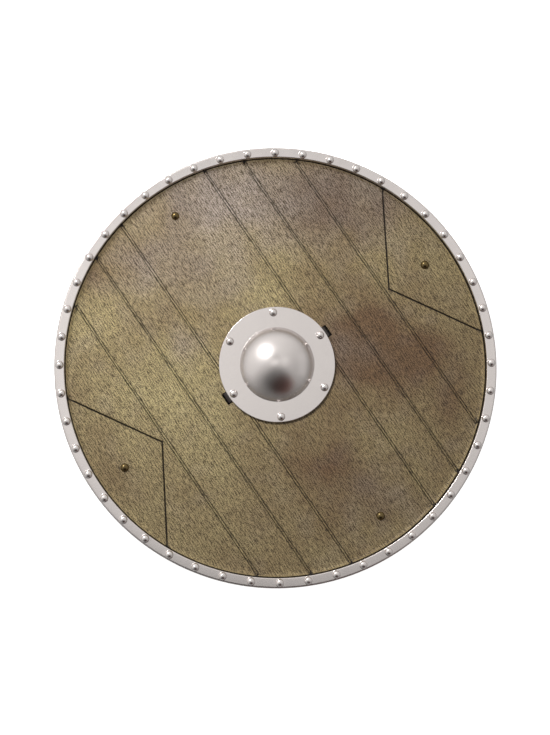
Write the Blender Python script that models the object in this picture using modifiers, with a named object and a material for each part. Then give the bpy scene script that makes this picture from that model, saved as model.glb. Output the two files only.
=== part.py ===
"""Round costume shield of moulded plastic: plank-look board, silver rim and boss, four studs, one strap.

Frame: metres, +Z out of the front. The origin is under the middle, in the plane of the rim's back edge,
on which the shield lies. +Y runs along the planks, +X across them, along the grip.
"""
import math

import bmesh
import bpy
from mathutils import Matrix, Vector

# Overall form
SHIELD_RADIUS = 0.250
SHIELD_DEPTH = 0.0306          # back edge of the rim to the front of its band
TOUCH_GAP = 0.0003             # left between pieces that touch
TURN_SIDES = 96                # flats round the board and the rim

# Board
BOARD_DROP = 0.0086            # front of the rim's band down to the board's face
BOARD_THICKNESS = 0.0030
LEDGE_DROP = 0.0005            # the edge under the rim lies this far below the face
BEAD_WIDTH = 0.0046            # raised edge just inside the rim
BEAD_HEIGHT = 0.0026
BEAD_LAND = 0.0006             # flat top of the raised edge
BEAD_STEPS = 3                 # straight bits in its hollow slope
MIDDLE_PLANK_WIDTH = 0.114
SIDE_PLANK_WIDTHS = (0.044, 0.0495)  # from the middle plank outwards
SEAM_WIDTH = 0.0024
SEAM_DEPTH = 0.0014
WEDGE_REACH = 0.094            # wedge-shaped end patches, in from the shield's edge
WEDGE_ANGLE = math.radians(58.9)  # their edges, measured from the X axis
HAND_HOLE_INSET = 0.0043       # hole for the knuckles, inside the dome's foot

# Rim
BAND_WIDTH = 0.0115            # silver band seen from the front
RIM_WALL = 0.0022
BAND_CHAMFER = 0.0014
LIP_CHAMFER = 0.0006
RIM_GAP = 0.0010               # dark line between the raised edge and the rim
SHOULDER = 0.0010              # step inside the wall that carries the board
RIM_HEAD_COUNT = 48
RIM_HEAD_INSET = 0.0063        # middle of a head, in from the shield's edge

# Round heads moulded on the rim and the boss
HEAD_RADIUS = 0.0044
HEAD_HEIGHT = 0.0031
HEAD_SIDES = 8
HEAD_STEPS = 2

# Boss
BOSS_RADIUS = 0.0658
BOSS_WALL = 0.0014
BOSS_CHAMFER = 0.0005
BOSS_SIDES = 48
DOME_RADIUS = 0.0423
DOME_HEIGHT = 0.0200
DOME_STEPS = 7
INNER_DOME_STEPS = 5
BOSS_HEAD_COUNT = 6
BOSS_HEAD_INSET = 0.0064       # middle of a head, in from the flange's edge

# Pegs under the boss's heads, pushed through the board and flattened behind it
PEG_RADIUS = 0.0018
PEG_CLEARANCE = 0.0003
PEG_CAP_RADIUS = 0.0032
PEG_CAP_HEIGHT = 0.0012

# Studs
STUD_INSET = 0.0437            # middle of a stud, in from the shield's edge
STUD_HEAD_RADIUS = 0.00475
STUD_HEAD_HEIGHT = 0.0034
STUD_SHANK_RADIUS = 0.0016
STUD_CLEARANCE = 0.0003
STUD_TAIL_RADIUS = 0.0034
STUD_TAIL_HEIGHT = 0.0010
STUD_SIDES = 12
STUD_STEPS = 3
STUD_NAMES = ("stud_right", "stud_top", "stud_left", "stud_bottom")

# Grip strap and its slots
STRAP_THICKNESS = 0.0014
TONGUE_WIDTH = 0.0120          # strap where it passes the slots
TONGUE_SIDE_CLEARANCE = 0.0010
TONGUE_REACH = 0.0070          # tongue past its peg, towards the middle
TONGUE_HEADROOM = 0.0007       # between the tongue and the flange over it
GRIP_WIDTH = 0.0240            # strap at the middle of the grip
GRIP_FULL_HALF = 0.0300        # it keeps that width this far to each side of the middle
GRIP_LIFT = 0.0010             # strap's underside above the rim's back edge
SLOT_BEYOND_BOSS = 0.0057      # slot showing outside the boss
SLOT_OUTER_CLEARANCE = 0.0019  # strap to the slot's outer end
SLOT_INNER_CLEARANCE = 0.0030  # strap to the slot's inner end
TONGUE_BEND = 0.0022           # bend radius where the tongue turns down, middle of the strap
STRAP_DROP = 0.0028            # straight part of the strap below the board
BEND_STEPS = 6
GRIP_STEPS = 8

# Heights that follow from the sizes above
FACE_Z = SHIELD_DEPTH - BOARD_DROP
BACK_Z = FACE_Z - BOARD_THICKNESS
LEDGE_Z = FACE_Z - LEDGE_DROP
TONGUE_Z = FACE_Z + TOUCH_GAP + STRAP_THICKNESS / 2
TONGUE_TOP_Z = TONGUE_Z + STRAP_THICKNESS / 2
FLANGE_UNDER_Z = TONGUE_TOP_Z + TONGUE_HEADROOM
BOSS_Z = FLANGE_UNDER_Z + BOSS_WALL
GRIP_Z = GRIP_LIFT + STRAP_THICKNESS / 2

# Radii that follow
BAND_INNER_RADIUS = SHIELD_RADIUS - BAND_WIDTH
BEAD_RADIUS = BAND_INNER_RADIUS - RIM_GAP
LEDGE_RADIUS = SHIELD_RADIUS - RIM_WALL - TOUCH_GAP
RIM_HEAD_CIRCLE = SHIELD_RADIUS - RIM_HEAD_INSET
BOSS_HEAD_CIRCLE = BOSS_RADIUS - BOSS_HEAD_INSET
STUD_CIRCLE = SHIELD_RADIUS - STUD_INSET
HAND_HOLE_RADIUS = DOME_RADIUS - HAND_HOLE_INSET
WEDGE_CORNER_X = SHIELD_RADIUS - WEDGE_REACH
SLOT_OUTER_X = BOSS_RADIUS + SLOT_BEYOND_BOSS
STRAP_DROP_X = SLOT_OUTER_X - SLOT_OUTER_CLEARANCE - STRAP_THICKNESS / 2
SLOT_INNER_X = STRAP_DROP_X - STRAP_THICKNESS / 2 - SLOT_INNER_CLEARANCE
SLOT_WIDTH = TONGUE_WIDTH + 2 * TONGUE_SIDE_CLEARANCE
GRIP_BEND = BACK_Z - STRAP_DROP - GRIP_Z
CUT_MARGIN = 0.002             # cutters run past the faces they cut

MERGE = 0.00001                # points nearer than this are one
FLAT_ANGLE = math.radians(0.5)  # faces that turn less than this are one
FULL_TURN = 2 * math.pi


def clear_scene():
    """Start from an empty file."""
    for item in list(bpy.data.objects):
        bpy.data.objects.remove(item, do_unlink=True)


def collection(name):
    """New collection in the scene."""
    made = bpy.data.collections.new(name)
    bpy.context.scene.collection.children.link(made)
    return made


def material(name, color, roughness, metallic):
    """Plain surface for one kind of piece."""
    made = bpy.data.materials.new(name)
    made.use_nodes = True
    shader = made.node_tree.nodes["Principled BSDF"]
    shader.inputs["Base Color"].default_value = (*color, 1.0)
    shader.inputs["Roughness"].default_value = roughness
    shader.inputs["Metallic"].default_value = metallic
    return made


def add_object(name, mesh, group, surface=None):
    """Object around a mesh, in a collection, with its material."""
    made = bpy.data.objects.new(name, mesh)
    group.objects.link(made)
    if surface:
        mesh.materials.append(surface)
    return made


def as_cutter(item):
    """Keep a cutter out of the render and draw it as wire."""
    item.hide_render = True
    item.display_type = "WIRE"
    return item


def evaluated_mesh(item):
    """Mesh of an object with its modifiers applied, which replaces the object."""
    graph = bpy.context.evaluated_depsgraph_get()
    mesh = bpy.data.meshes.new_from_object(item.evaluated_get(graph))
    bpy.data.objects.remove(item, do_unlink=True)
    return mesh


def turned(name, profile, sides, group, surface=None, ring=False):
    """Solid turned about Z from (radius, height) points that run down the outside."""
    mesh = bpy.data.meshes.new(name)
    form = bmesh.new()
    points = [form.verts.new((radius, 0, height)) for radius, height in profile]
    for start, end in zip(points, points[1:]):
        form.edges.new((start, end))
    if ring:
        form.edges.new((points[-1], points[0]))
    form.to_mesh(mesh)
    form.free()
    made = add_object(name, mesh, group, surface)
    screw = made.modifiers.new("Turn", "SCREW")
    screw.steps = sides
    screw.render_steps = sides
    screw.use_merge_vertices = True
    screw.merge_threshold = MERGE
    screw.use_smooth_shade = False
    return made


def merge_flats(item):
    """Join the wedges of flat turned faces into whole faces."""
    planar = item.modifiers.new("Flats", "DECIMATE")
    planar.decimate_type = "DISSOLVE"
    planar.angle_limit = FLAT_ANGLE


def copies(name, mesh, places, group):
    """One mesh object made of a copy of a mesh at each place."""
    form = bmesh.new()
    for place in places:
        moved = mesh.copy()
        moved.transform(place)
        form.from_mesh(moved)
        bpy.data.meshes.remove(moved)
    joined = bpy.data.meshes.new(name)
    form.to_mesh(joined)
    form.free()
    return add_object(name, joined, group)


def box(name, low, high, group):
    """Rectangular block between two corners."""
    low, high = Vector(low), Vector(high)
    size = high - low
    place = Matrix.Translation((low + high) / 2) @ Matrix.Diagonal((*size, 1.0))
    form = bmesh.new()
    bmesh.ops.create_cube(form, size=1.0, matrix=place)
    mesh = bpy.data.meshes.new(name)
    form.to_mesh(mesh)
    form.free()
    return add_object(name, mesh, group)


def rod(name, radius, low, high, sides, group, place):
    """Upright round bar between two heights, moved to its place."""
    middle = place @ Matrix.Translation((0, 0, (low + high) / 2))
    form = bmesh.new()
    bmesh.ops.create_cone(form, cap_ends=True, segments=sides, radius1=radius, radius2=radius,
                          depth=high - low, matrix=middle)
    mesh = bpy.data.meshes.new(name)
    form.to_mesh(mesh)
    form.free()
    return add_object(name, mesh, group)


def combine(item, operand, operation):
    """Cut an object by another, or join the other to it."""
    step = item.modifiers.new(operand.name, "BOOLEAN")
    step.operation = operation
    step.solver = "EXACT"
    step.object = as_cutter(operand)


def around(count, radius, first_angle=0.0):
    """Places on a circle about Z, turned to face outwards."""
    turns = [first_angle + index * FULL_TURN / count for index in range(count)]
    return [Matrix.Rotation(turn, 4, "Z") @ Matrix.Translation((radius, 0, 0)) for turn in turns]


def dome_profile(radius, height, rise_steps):
    """Round head or dome from its top down to its foot, as part of a ball."""
    ball = (radius ** 2 + height ** 2) / (2 * height)
    reach = math.asin(min(1.0, radius / ball))
    if height > radius:
        reach = math.pi - reach
    steps = [reach * step / rise_steps for step in range(rise_steps + 1)]
    return [(ball * math.sin(turn), height - ball + ball * math.cos(turn)) for turn in steps]


def flattened_dome(radius, height, rise_steps):
    """Round head with steep sides, as half of a flattened ball."""
    turns = [math.pi / 2 * step / rise_steps for step in range(rise_steps + 1)]
    return [(radius * math.sin(turn), height * math.cos(turn)) for turn in turns]


def raised(profile, height):
    """Profile moved up by a height."""
    return [(radius, level + height) for radius, level in profile]


def round_heads(name, places, seat_height, sink, group):
    """Moulded heads that stand on a face and reach a little into it."""
    outside = flattened_dome(HEAD_RADIUS, HEAD_HEIGHT, HEAD_STEPS)
    foot = [(HEAD_RADIUS, -sink), (0.0, -sink)]
    head = turned(name + "_one", raised(outside + foot, seat_height), HEAD_SIDES, group)
    return copies(name, evaluated_mesh(head), places, group)


def seam_offsets():
    """Distances of the plank seams from the middle line."""
    offsets = [MIDDLE_PLANK_WIDTH / 2]
    for width in SIDE_PLANK_WIDTHS:
        offsets.append(offsets[-1] + width)
    return offsets


def seam_outline():
    """Section of a seam cutter: a V below the face, straight sides above it."""
    half = SEAM_WIDTH / 2
    top = BEAD_HEIGHT + CUT_MARGIN
    return [(0.0, -SEAM_DEPTH), (half, 0.0), (half, top), (-half, top), (-half, 0.0)]


def seam_cutter(name, start, direction, length, group):
    """V-shaped bar along the board's face, from a start point in a direction."""
    outline = bpy.data.curves.new(name, "CURVE")
    outline.dimensions = "2D"
    outline.fill_mode = "BOTH"
    outline.extrude = length / 2
    corners = seam_outline()
    spline = outline.splines.new("POLY")
    spline.points.add(len(corners) - 1)
    for point, (across, up) in zip(spline.points, corners):
        point.co = (across, up, 0.0, 1.0)
    spline.use_cyclic_u = True
    mesh = evaluated_mesh(add_object(name, outline, group))
    form = bmesh.new()
    form.from_mesh(mesh)
    bmesh.ops.remove_doubles(form, verts=form.verts, dist=MERGE)
    form.to_mesh(mesh)
    form.free()
    along = Vector((math.cos(direction), math.sin(direction), 0.0))
    up = Vector((0.0, 0.0, 1.0))
    axes = Matrix((up.cross(along), up, along)).transposed().to_4x4()
    middle = Vector((*start, FACE_Z)) + along * length / 2
    mesh.transform(Matrix.Translation(middle) @ axes)
    return add_object(name, mesh, group)


def board_profile():
    """Half section of the board without its holes: face, raised edge, ledge, back."""
    slope_start = BEAD_RADIUS - BEAD_WIDTH
    slope_width = BEAD_WIDTH - BEAD_LAND
    slope = []
    for step in range(BEAD_STEPS + 1):
        turn = math.pi / 2 * step / BEAD_STEPS
        out = slope_start + slope_width * math.sin(turn)
        rise = BEAD_HEIGHT * (1 - math.cos(turn))
        slope.append((out, FACE_Z + rise))
    edge = [
        (BEAD_RADIUS, FACE_Z + BEAD_HEIGHT),
        (BEAD_RADIUS, LEDGE_Z),
        (LEDGE_RADIUS, LEDGE_Z),
        (LEDGE_RADIUS, BACK_Z),
        (0.0, BACK_Z),
    ]
    return [(0.0, FACE_Z)] + slope + edge


def build_board(group, cutters, surface):
    """Moulded panel with plank seams, wedge patches, slots, and holes for fasteners and the hand."""
    board = turned("board", board_profile(), TURN_SIDES, group, surface)
    merge_flats(board)
    for side in (-1, 1):
        for number, offset in enumerate(seam_offsets()):
            start = (side * offset, -SHIELD_RADIUS)
            name = f"seam_{number}_{'right' if side > 0 else 'left'}"
            seam = seam_cutter(name, start, math.pi / 2, 2 * SHIELD_RADIUS, cutters)
            combine(board, seam, "DIFFERENCE")
        for turn in (-1, 1):
            heading = turn * WEDGE_ANGLE if side > 0 else math.pi - turn * WEDGE_ANGLE
            name = f"wedge_{'top' if turn > 0 else 'bottom'}_{'right' if side > 0 else 'left'}"
            edge = seam_cutter(name, (side * WEDGE_CORNER_X, 0.0), heading, SHIELD_RADIUS, cutters)
            combine(board, edge, "DIFFERENCE")
        reach = sorted((side * SLOT_INNER_X, side * SLOT_OUTER_X))
        slot = box(f"slot_{'right' if side > 0 else 'left'}",
                   (reach[0], -SLOT_WIDTH / 2, BACK_Z - CUT_MARGIN),
                   (reach[1], SLOT_WIDTH / 2, FACE_Z + CUT_MARGIN), cutters)
        combine(board, slot, "DIFFERENCE")
    bottom, top = BACK_Z - CUT_MARGIN, FACE_Z + CUT_MARGIN
    hand_hole = rod("hand_hole", HAND_HOLE_RADIUS, bottom, top, BOSS_SIDES, cutters, Matrix())
    combine(board, hand_hole, "DIFFERENCE")
    peg_hole_radius = PEG_RADIUS + PEG_CLEARANCE
    for number, place in enumerate(around(BOSS_HEAD_COUNT, BOSS_HEAD_CIRCLE)):
        hole = rod(f"peg_hole_{number}", peg_hole_radius, bottom, top, HEAD_SIDES, cutters, place)
        combine(board, hole, "DIFFERENCE")
    stud_hole_radius = STUD_SHANK_RADIUS + STUD_CLEARANCE
    for number, place in enumerate(around(len(STUD_NAMES), STUD_CIRCLE)):
        hole = rod(f"stud_hole_{number}", stud_hole_radius, bottom, top, STUD_SIDES, cutters, place)
        combine(board, hole, "DIFFERENCE")
    return board


def rim_profile():
    """Section of the rim: band in front, lip on the board's ledge, deep wall with a shoulder."""
    wall_inner = SHIELD_RADIUS - RIM_WALL
    band_back = SHIELD_DEPTH - RIM_WALL
    lip_outer = BAND_INNER_RADIUS + RIM_WALL
    lip_foot = LEDGE_Z + TOUCH_GAP
    shoulder_z = BACK_Z - TOUCH_GAP
    return [
        (SHIELD_RADIUS - BAND_CHAMFER, SHIELD_DEPTH),
        (SHIELD_RADIUS, SHIELD_DEPTH - BAND_CHAMFER),
        (SHIELD_RADIUS, 0.0),
        (wall_inner - SHOULDER, 0.0),
        (wall_inner - SHOULDER, shoulder_z),
        (wall_inner, shoulder_z),
        (wall_inner, band_back),
        (lip_outer, band_back),
        (lip_outer, lip_foot),
        (BAND_INNER_RADIUS, lip_foot),
        (BAND_INNER_RADIUS, SHIELD_DEPTH - LIP_CHAMFER),
        (BAND_INNER_RADIUS + LIP_CHAMFER, SHIELD_DEPTH),
    ]


def build_rim(group, cutters, surface):
    """Silver ring round the board, with its moulded heads."""
    rim = turned("rim", rim_profile(), TURN_SIDES, group, surface, ring=True)
    half_step = FULL_TURN / RIM_HEAD_COUNT / 2
    places = around(RIM_HEAD_COUNT, RIM_HEAD_CIRCLE, half_step)
    merge_flats(rim)
    heads = round_heads("rim_heads", places, SHIELD_DEPTH, RIM_WALL / 2, cutters)
    combine(rim, heads, "UNION")
    return rim


def boss_profile():
    """Section of the boss: thin dome and flange with a short skirt, hollow behind."""
    outer_dome = raised(dome_profile(DOME_RADIUS, DOME_HEIGHT, DOME_STEPS), BOSS_Z)
    ball = (DOME_RADIUS ** 2 + DOME_HEIGHT ** 2) / (2 * DOME_HEIGHT)
    inner_ball = ball - BOSS_WALL
    centre = BOSS_Z + DOME_HEIGHT - ball
    reach = math.acos((FLANGE_UNDER_Z - centre) / inner_ball)
    turns = [reach * step / INNER_DOME_STEPS for step in range(INNER_DOME_STEPS + 1)]
    inner_dome = [(inner_ball * math.sin(turn), centre + inner_ball * math.cos(turn)) for turn in turns]
    skirt_foot = FACE_Z + TOUCH_GAP
    flange = [
        (BOSS_RADIUS - BOSS_CHAMFER, BOSS_Z),
        (BOSS_RADIUS, BOSS_Z - BOSS_CHAMFER),
        (BOSS_RADIUS, skirt_foot),
        (BOSS_RADIUS - BOSS_WALL, skirt_foot),
        (BOSS_RADIUS - BOSS_WALL, FLANGE_UNDER_Z),
    ]
    return outer_dome + flange + inner_dome[::-1]


def build_boss(group, cutters, surface):
    """Silver dome with a flange, moulded heads, and pegs that hold it to the board."""
    boss = turned("boss", boss_profile(), BOSS_SIDES, group, surface)
    merge_flats(boss)
    places = around(BOSS_HEAD_COUNT, BOSS_HEAD_CIRCLE)
    heads = round_heads("boss_heads", places, BOSS_Z, BOSS_WALL / 2, cutters)
    cap_top = BACK_Z - TOUCH_GAP
    cap_bottom = cap_top - PEG_CAP_HEIGHT
    peg_profile = [
        (0.0, BOSS_Z - BOSS_WALL / 2),
        (PEG_RADIUS, BOSS_Z - BOSS_WALL / 2),
        (PEG_RADIUS, cap_top),
        (PEG_CAP_RADIUS, cap_top),
        (PEG_CAP_RADIUS, cap_bottom),
        (0.0, cap_bottom),
    ]
    peg = turned("boss_peg", peg_profile, HEAD_SIDES, cutters)
    pegs = copies("boss_pegs", evaluated_mesh(peg), places, cutters)
    notch_half = TONGUE_WIDTH / 2 + TONGUE_SIDE_CLEARANCE
    notch_top = TONGUE_TOP_Z + TONGUE_HEADROOM / 2
    for side in (-1, 1):
        reach = sorted((side * (BOSS_RADIUS - 2 * BOSS_WALL), side * (BOSS_RADIUS + CUT_MARGIN)))
        notch = box(f"notch_{'right' if side > 0 else 'left'}",
                    (reach[0], -notch_half, FACE_Z - CUT_MARGIN),
                    (reach[1], notch_half, notch_top), cutters)
        combine(boss, notch, "DIFFERENCE")
    combine(boss, heads, "UNION")
    combine(boss, pegs, "UNION")
    return boss


def stud_profile():
    """Section of a stud: round head, shank through the board, flattened tail behind it."""
    seat = FACE_Z + TOUCH_GAP
    tail_top = BACK_Z - TOUCH_GAP
    tail_bottom = tail_top - STUD_TAIL_HEIGHT
    head = raised(flattened_dome(STUD_HEAD_RADIUS, STUD_HEAD_HEIGHT, STUD_STEPS), seat)
    shank = [
        (STUD_SHANK_RADIUS, seat),
        (STUD_SHANK_RADIUS, tail_top),
        (STUD_TAIL_RADIUS, tail_top),
        (STUD_TAIL_RADIUS, tail_bottom),
        (0.0, tail_bottom),
    ]
    return head + shank


def build_studs(group, surface):
    """Four dark brass studs on the two middle lines of the board."""
    for name, place in zip(STUD_NAMES, around(len(STUD_NAMES), STUD_CIRCLE)):
        stud = turned(name, stud_profile(), STUD_SIDES, group, surface)
        stud.matrix_world = place


def arc(centre, radius, start, end, steps):
    """Points on an arc in the XZ plane, after its first point."""
    turns = [start + (end - start) * step / steps for step in range(1, steps + 1)]
    return [(centre[0] + radius * math.cos(turn), centre[1] + radius * math.sin(turn)) for turn in turns]


def strap_path():
    """Middle line of half the strap in XZ: tongue, slot, bend, grip, up to the middle."""
    tongue_end = BOSS_HEAD_CIRCLE - TONGUE_REACH
    first = (STRAP_DROP_X - TONGUE_BEND, TONGUE_Z)
    down = arc((first[0], TONGUE_Z - TONGUE_BEND), TONGUE_BEND, math.pi / 2, 0.0, BEND_STEPS)
    turn_centre = (STRAP_DROP_X - GRIP_BEND, GRIP_Z + GRIP_BEND)
    inward = arc(turn_centre, GRIP_BEND, 0.0, -math.pi / 2, BEND_STEPS)
    drop = [(STRAP_DROP_X, turn_centre[1])]
    grip_start = turn_centre[0]
    grip = [(grip_start * (1 - step / GRIP_STEPS), GRIP_Z) for step in range(1, GRIP_STEPS + 1)]
    return [(tongue_end, TONGUE_Z), first] + down + drop + inward + grip


def strap_half_width(x, z):
    """Half of the strap's width: narrow at the slots, wider towards the middle of the grip."""
    if z > BACK_Z - GRIP_BEND / 2:
        return TONGUE_WIDTH / 2
    share = min(1.0, (STRAP_DROP_X - x) / (STRAP_DROP_X - GRIP_FULL_HALF))
    ease = share * share * (3 - 2 * share)
    return TONGUE_WIDTH / 2 + (GRIP_WIDTH - TONGUE_WIDTH) / 2 * ease


def build_strap(group, cutters, surface):
    """Black moulded strap: its tongues lie under the boss, its middle is the grip."""
    path = strap_path()
    form = bmesh.new()
    spans = len(path) - 1
    bmesh.ops.create_grid(form, x_segments=spans, y_segments=1, size=1.0)
    for point in form.verts:
        x, z = path[round((point.co.x + 1) / 2 * spans)]
        side = math.copysign(1.0, point.co.y)
        point.co = (x, side * strap_half_width(x, z), z)
    mesh = bpy.data.meshes.new("grip_strap")
    form.to_mesh(mesh)
    form.free()
    strap = add_object("grip_strap", mesh, group, surface)
    mirror = strap.modifiers.new("Other half", "MIRROR")
    mirror.use_axis = (True, False, False)
    mirror.merge_threshold = MERGE
    wall = strap.modifiers.new("Thickness", "SOLIDIFY")
    wall.thickness = STRAP_THICKNESS
    wall.offset = 0.0
    hole_radius = PEG_RADIUS + PEG_CLEARANCE
    bottom, top = FACE_Z - CUT_MARGIN, BOSS_Z
    for number, place in enumerate(around(2, BOSS_HEAD_CIRCLE)):
        hole = rod(f"strap_hole_{number}", hole_radius, bottom, top, HEAD_SIDES, cutters, place)
        combine(strap, hole, "DIFFERENCE")
    return strap


def main():
    """Build every piece of the shield."""
    clear_scene()
    shield = collection("round_shield")
    cutters = collection("cutters")
    plank_paint = material("plank_look_plastic", (0.20, 0.16, 0.09), 0.55, 0.25)
    silver_paint = material("silver_lacquered_plastic", (0.62, 0.60, 0.60), 0.32, 0.55)
    dark_brass = material("dark_brass", (0.22, 0.15, 0.06), 0.30, 1.0)
    black_plastic = material("black_plastic", (0.02, 0.019, 0.018), 0.55, 0.0)
    build_board(shield, cutters, plank_paint)
    build_rim(shield, cutters, silver_paint)
    build_boss(shield, cutters, silver_paint)
    build_studs(shield, dark_brass)
    build_strap(shield, cutters, black_plastic)


main()
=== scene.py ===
# %% [markdown]
# A round costume shield, finished piece by piece.
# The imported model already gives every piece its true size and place. This lesson builds the same pieces
# again with their fine form, such as rounded edges, grain and seams, and then paints and lights them.
# The frame is in metres: +Z comes out of the front, +Y runs along the planks, +X runs across them.

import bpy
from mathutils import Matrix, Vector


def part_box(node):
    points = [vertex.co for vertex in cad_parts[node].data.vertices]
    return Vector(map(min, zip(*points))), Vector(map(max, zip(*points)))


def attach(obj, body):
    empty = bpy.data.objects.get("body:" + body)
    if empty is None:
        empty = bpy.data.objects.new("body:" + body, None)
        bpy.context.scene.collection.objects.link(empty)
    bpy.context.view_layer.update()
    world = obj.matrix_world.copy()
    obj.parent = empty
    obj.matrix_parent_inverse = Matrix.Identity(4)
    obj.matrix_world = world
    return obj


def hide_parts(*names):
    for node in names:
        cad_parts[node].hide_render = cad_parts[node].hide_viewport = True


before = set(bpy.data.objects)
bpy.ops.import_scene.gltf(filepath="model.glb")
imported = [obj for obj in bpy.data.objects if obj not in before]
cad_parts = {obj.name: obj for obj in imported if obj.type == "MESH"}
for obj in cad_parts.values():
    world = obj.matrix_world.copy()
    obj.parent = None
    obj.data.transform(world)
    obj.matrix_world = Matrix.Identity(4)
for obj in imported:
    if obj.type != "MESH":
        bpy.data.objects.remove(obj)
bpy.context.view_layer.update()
print("nodes:", sorted(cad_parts))

# %% Modules and the unit
import math

import bpy
from mathutils import Matrix, Vector, noise

MM = 0.001
FULL_TURN = 2 * math.pi

# %% [markdown]
# The camera comes first, because everything is judged from where the photograph was taken.
# That was almost straight above the shield, which lay turned so that its planks run from the upper
# left to the lower right. The place and the turn were found by fitting the rim, the boss and the heads.

# %% Camera
CAMERA_PLACE = (-0.1455, -0.0834, 1.4056)
CAMERA_TILT = (math.radians(6.084), math.radians(-2.928), math.radians(-34.357))
CAMERA_LENS = 60.22

camera_data = bpy.data.cameras.new("camera")
camera_data.lens = CAMERA_LENS
camera = bpy.data.objects.new("camera", camera_data)
camera.location = CAMERA_PLACE
camera.rotation_euler = CAMERA_TILT
bpy.context.scene.collection.objects.link(camera)
bpy.context.scene.camera = camera
print("camera", round(camera.location.z, 3), "m above the floor")

# %% [markdown]
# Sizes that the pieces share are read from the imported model, so this lesson can't drift away from it.
# The few that it can't tell, such as how round an edge is, are given in millimetres where they are used.
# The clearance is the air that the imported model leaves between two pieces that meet.

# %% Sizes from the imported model
rim_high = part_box("rim")[1]
board_low, board_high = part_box("board")
boss_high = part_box("boss")[1]
stud_low, stud_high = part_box("stud_right")
strap_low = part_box("grip_strap")[0]

BOARD_THICKNESS = 3 * MM
FLANGE_DROP = 4.8 * MM
CLEARANCE = 0.3 * MM
SHIELD_RADIUS = rim_high.x
BOARD_BACK = board_low.z
BOARD_FACE = BOARD_BACK + BOARD_THICKNESS
BOARD_RADIUS = board_high.x
BEAD_TOP = board_high.z
BOSS_RADIUS = boss_high.x
HEAD_RADIUS = 4.4 * MM
HEAD_HEIGHT = 3.1 * MM
BAND_TOP = rim_high.z - HEAD_HEIGHT
FLANGE_TOP = BAND_TOP - FLANGE_DROP
print("shield radius", round(SHIELD_RADIUS, 4), "board face at", round(BOARD_FACE, 4))

# %% [markdown]
# Most pieces are round, so they are turned. In Blender a turned shape can be pulled by hand: a ring of
# points is extruded, moved and scaled once for each point of the half section. One helper does that, and
# a second one rounds the corners of a section, because nothing that comes out of a mould is quite sharp.


# %% Helpers that start a piece and turn it
def start_piece():
    """Nothing is selected, so that the next operator acts on the new shape alone."""
    if bpy.context.object and bpy.context.object.mode != "OBJECT":
        bpy.ops.object.mode_set(mode="OBJECT")
    bpy.ops.object.select_all(action="DESELECT")


def take(piece):
    """Make one piece the selected and active one."""
    start_piece()
    piece.select_set(True)
    bpy.context.view_layer.objects.active = piece
    return piece


def rounded(section, steps=5):
    """Section of (radius, height, rounding) corners, with each rounding drawn as an arc."""
    points = []
    for index, (radius, height, rounding) in enumerate(section):
        corner = Vector((radius, height))
        if not rounding:
            points.append(tuple(corner))
            continue
        before = (Vector(section[index - 1][:2]) - corner).normalized()
        after = (Vector(section[(index + 1) % len(section)][:2]) - corner).normalized()
        half = before.angle(after) / 2
        middle = corner + (before + after).normalized() * rounding / math.sin(half)
        start = corner + before * rounding / math.tan(half) - middle
        end = corner + after * rounding / math.tan(half) - middle
        for step in range(steps + 1):
            points.append(tuple(middle + start.slerp(end, step / steps).normalized() * rounding))
    return points


def turned(name, profile, sides, closed=False):
    """Ring of points pulled along a half section; a point on the axis closes the shape."""
    start_piece()
    starts_on_axis = profile[0][0] == 0
    first = profile[1] if starts_on_axis else profile[0]
    fill = "TRIFAN" if starts_on_axis else "NOTHING"
    bpy.ops.mesh.primitive_circle_add(vertices=sides, radius=first[0], fill_type=fill,
                                      location=(0, 0, first[1]))
    piece = bpy.context.object
    piece.name = name
    bpy.ops.object.transform_apply(location=True)
    if starts_on_axis:
        for point in piece.data.vertices:
            if point.co.xy.length < first[0] / 2:
                point.co.z = profile[0][1]
    bpy.ops.object.mode_set(mode="EDIT")
    bpy.ops.mesh.select_mode(type="EDGE")
    bpy.ops.mesh.select_all(action="SELECT")
    if starts_on_axis:
        bpy.ops.mesh.region_to_loop()
    rest = profile[2:] if starts_on_axis else profile[1:]
    if closed:
        rest = rest + [profile[0]]
    radius, height = first
    for next_radius, next_height in rest:
        rise = (0, 0, next_height - height)
        bpy.ops.mesh.extrude_region_move(TRANSFORM_OT_translate={"value": rise})
        if next_radius == 0:
            bpy.ops.mesh.merge(type="CENTER")
            break
        share = next_radius / radius
        bpy.ops.transform.resize(value=(share, share, 1), center_override=(0, 0, 0))
        radius, height = next_radius, next_height
    bpy.ops.mesh.select_all(action="SELECT")
    bpy.ops.mesh.remove_doubles(threshold=0.001 * MM)
    bpy.ops.mesh.normals_make_consistent(inside=False)
    bpy.ops.object.mode_set(mode="OBJECT")
    return piece


# %% [markdown]
# Materials are trees of nodes. One small function adds a node with its settings and links, and another
# turns the hex colours that a paint chart uses into the linear values that a shader needs.


# %% Helpers for materials
def linear(hex_colour):
    """Linear RGBA from an sRGB hex colour such as '#8A7B52'."""
    parts = [int(hex_colour[place:place + 2], 16) / 255 for place in (1, 3, 5)]
    return (*[part / 12.92 if part <= 0.04045 else ((part + 0.055) / 1.055) ** 2.4 for part in parts], 1.0)


def add_node(tree, kind, settings=None, inputs=None):
    """One node with its settings; an input is a value or another node's socket."""
    made = tree.nodes.new(kind)
    for name, value in (settings or {}).items():
        setattr(made, name, value)
    for name, value in (inputs or {}).items():
        if isinstance(value, bpy.types.NodeSocket):
            tree.links.new(value, made.inputs[name])
        else:
            made.inputs[name].default_value = value
    return made


def new_surface(name, **values):
    """Material with a Principled shader whose plain values sit on its own sockets."""
    surface = bpy.data.materials.new(name)
    surface.use_nodes = True
    shader = surface.node_tree.nodes["Principled BSDF"]
    for socket, value in values.items():
        shader.inputs[socket.replace("_", " ")].default_value = value
    return surface, surface.node_tree, shader


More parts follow.
